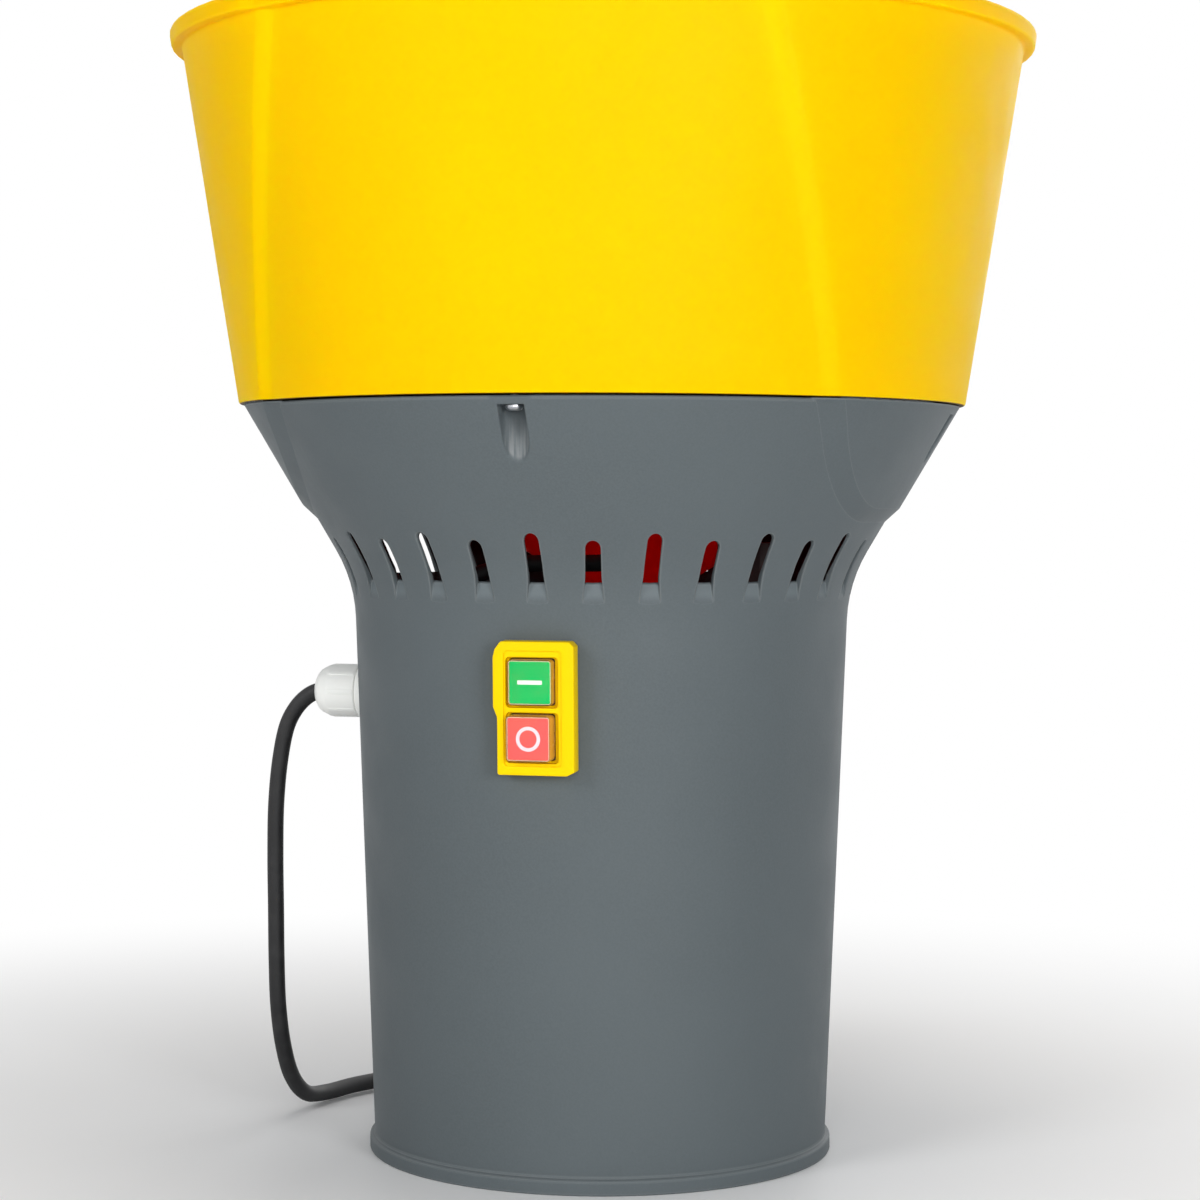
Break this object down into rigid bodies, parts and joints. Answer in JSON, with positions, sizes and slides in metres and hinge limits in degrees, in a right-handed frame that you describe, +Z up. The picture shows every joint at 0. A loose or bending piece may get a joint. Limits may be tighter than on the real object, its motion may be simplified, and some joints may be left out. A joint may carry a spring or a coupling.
{
  "type": "electric grain crusher",
  "caption": "Upright electric grain crusher: round yellow hopper over a grey moulded body with vent slots, two-button switch, inner funnel, blades and sieve, mains lead.",
  "frame": {"origin": "on the surface that the machine stands on, at the middle of its round foot", "axes": "+Z up along the rotor's axis, -Y the front with the switch, -X the side with the cable gland"},
  "size_m": [0.4718, 0.5011, 0.606],
  "materials": {
    "grey_plastic": "fine matt moulding grain",
    "yellow_plastic": "smooth moulded",
    "red_plastic": "smooth moulded",
    "black_plastic": "matt",
    "switch_yellow": "satin moulded",
    "green_plastic": "smooth",
    "button_red": "smooth",
    "clear_boot": "soft translucent",
    "white_plastic": "satin",
    "cord_rubber": "matt",
    "steel": "zinc plated",
    "dark_steel": "oiled",
    "blade_steel": "hardened",
    "sieve_steel": "perforated sheet",
    "motor_aluminium": "as cast"
  },
  "bodies": {
    "housing": {"body_shell": "grey_plastic", "hopper": "yellow_plastic", "feed_funnel": "red_plastic", "feed_duct": "dark_steel", "gate_guide": "black_plastic", "chamber_drum": "dark_steel", "sieve_disc": "sieve_steel", "sieve_ring": "dark_steel", "stator_case": "motor_aluminium", "bottom_bell": "motor_aluminium", "top_bell": "motor_aluminium", "bottom_bearing": "steel", "top_bearing": "steel", "fan_cowl": "dark_steel", "capacitor": "black_plastic", "capacitor_clamp": "steel", "motor_lead": "cord_rubber", "switch_bezel": "switch_yellow", "switch_housing": "black_plastic", "gland_body": "white_plastic", "gland_cap": "white_plastic", "gland_locknut": "white_plastic", "cord_run": "cord_rubber", "cord_coil": "cord_rubber", "cord_tie": "black_plastic", "plug_body": "black_plastic", "plug_pin_1": "steel", "plug_pin_2": "steel", "hopper_screw_1": "steel", "hopper_screw_2": "steel", "hopper_screw_3": "steel", "hopper_screw_4": "steel", "funnel_screw_1": "steel", "funnel_screw_2": "steel", "funnel_screw_3": "steel", "plate_screw_1": "steel", "plate_screw_2": "steel", "plate_screw_3": "steel", "motor_bolt_1": "steel", "motor_bolt_2": "steel", "motor_bolt_3": "steel", "chamber_stud_1": "steel", "chamber_stud_2": "steel", "chamber_stud_3": "steel", "wing_nut_1": "steel", "wing_nut_2": "steel", "wing_nut_3": "steel"},
    "rotor": {"rotor_shaft": "steel", "rotor_core": "dark_steel", "cooling_fan": "black_plastic", "blade_hub": "steel", "upper_blade": "blade_steel", "blade_spacer": "steel", "lower_blade": "blade_steel", "blade_nut": "steel"},
    "start": {"start_button": "green_plastic", "start_boot": "clear_boot"},
    "stop": {"stop_button": "button_red", "stop_boot": "clear_boot"},
    "gate": {"gate_plate": "black_plastic"}
  },
  "joints": [
    {"name": "rotor_spin", "type": "hinge", "parent": "housing", "child": "rotor", "pos_m": [0, 0, 0.2], "axis": [0, 0, 1], "continuous": true},
    {"name": "start_press", "type": "slide", "parent": "housing", "child": "start", "axis": [0, 0.9992, 0.0405], "range_m": [0, 0.003], "stiffness_N_per_m": 400},
    {"name": "stop_press", "type": "slide", "parent": "housing", "child": "stop", "axis": [0, 0.9992, 0.0405], "range_m": [0, 0.003], "stiffness_N_per_m": 400},
    {"name": "gate_slide", "type": "slide", "parent": "housing", "child": "gate", "axis": [0, 1, 0], "range_m": [0, 0.04]}
  ]
}
